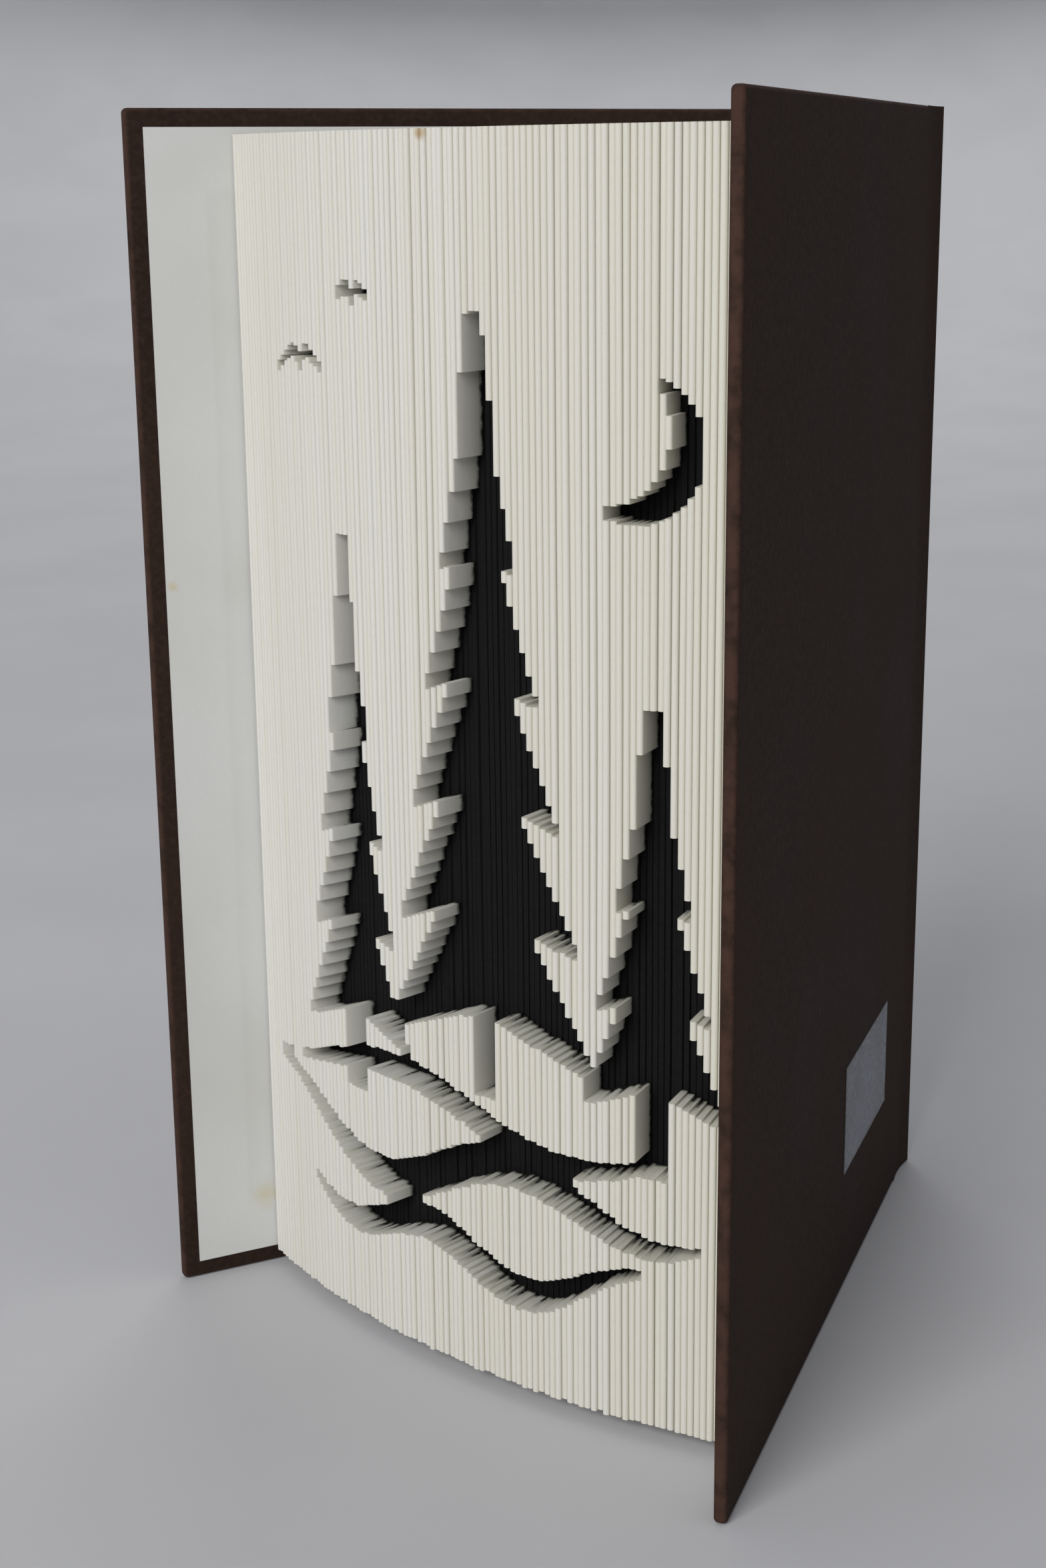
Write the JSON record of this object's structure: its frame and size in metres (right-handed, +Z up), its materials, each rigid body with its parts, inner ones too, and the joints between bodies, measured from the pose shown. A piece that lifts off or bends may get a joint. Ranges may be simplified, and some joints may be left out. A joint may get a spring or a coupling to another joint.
{
  "type": "hardback book with a cut fore-edge relief",
  "caption": "Clothbound hardback book standing half open on its covers, its folded leaves fanned out and a relief of firs, moon, birds and hills cut into the fore-edge.",
  "frame": {"origin": "middle of the ground that the half-open book covers, at the covers' tail edges", "axes": "+Z up the spine from tail to head, -Y towards the fore-edge, -X towards the front cover"},
  "size_m": [0.1452, 0.1542, 0.24],
  "materials": {
    "book_cloth": "matte",
    "leaf_paper": "matte",
    "endpaper": "matte",
    "lining_paper": "matte",
    "grey_board": "matte",
    "mull": "matte",
    "band_cotton": "satin",
    "label_paper": "satin"
  },
  "bodies": {
    "block": {"text_block": "leaf_paper", "spine_mull": "mull", "spine_paper_lining": "lining_paper", "headband": "band_cotton", "tailband": "band_cotton", "spine_inlay": "grey_board", "spine_cloth": "book_cloth", "front_joint_cloth": "book_cloth", "back_joint_cloth": "book_cloth"},
    "front_cover": {"front_board": "grey_board", "front_cover_cloth": "book_cloth", "front_pastedown": "endpaper"},
    "back_cover": {"back_board": "grey_board", "back_cover_cloth": "book_cloth", "back_pastedown": "endpaper", "label": "label_paper"}
  },
  "joints": [
    {"name": "front_cover_hinge", "type": "hinge", "parent": "block", "child": "front_cover", "pos_m": [-0.01034, 0.07097, 0.12], "axis": [0, 0, -1], "range_deg": [0, 150], "deforming": ["front_joint_cloth"]},
    {"name": "back_cover_hinge", "type": "hinge", "parent": "block", "child": "back_cover", "pos_m": [0.01034, 0.07097, 0.12], "axis": [0, 0, 1], "range_deg": [0, 150], "deforming": ["back_joint_cloth"]}
  ]
}
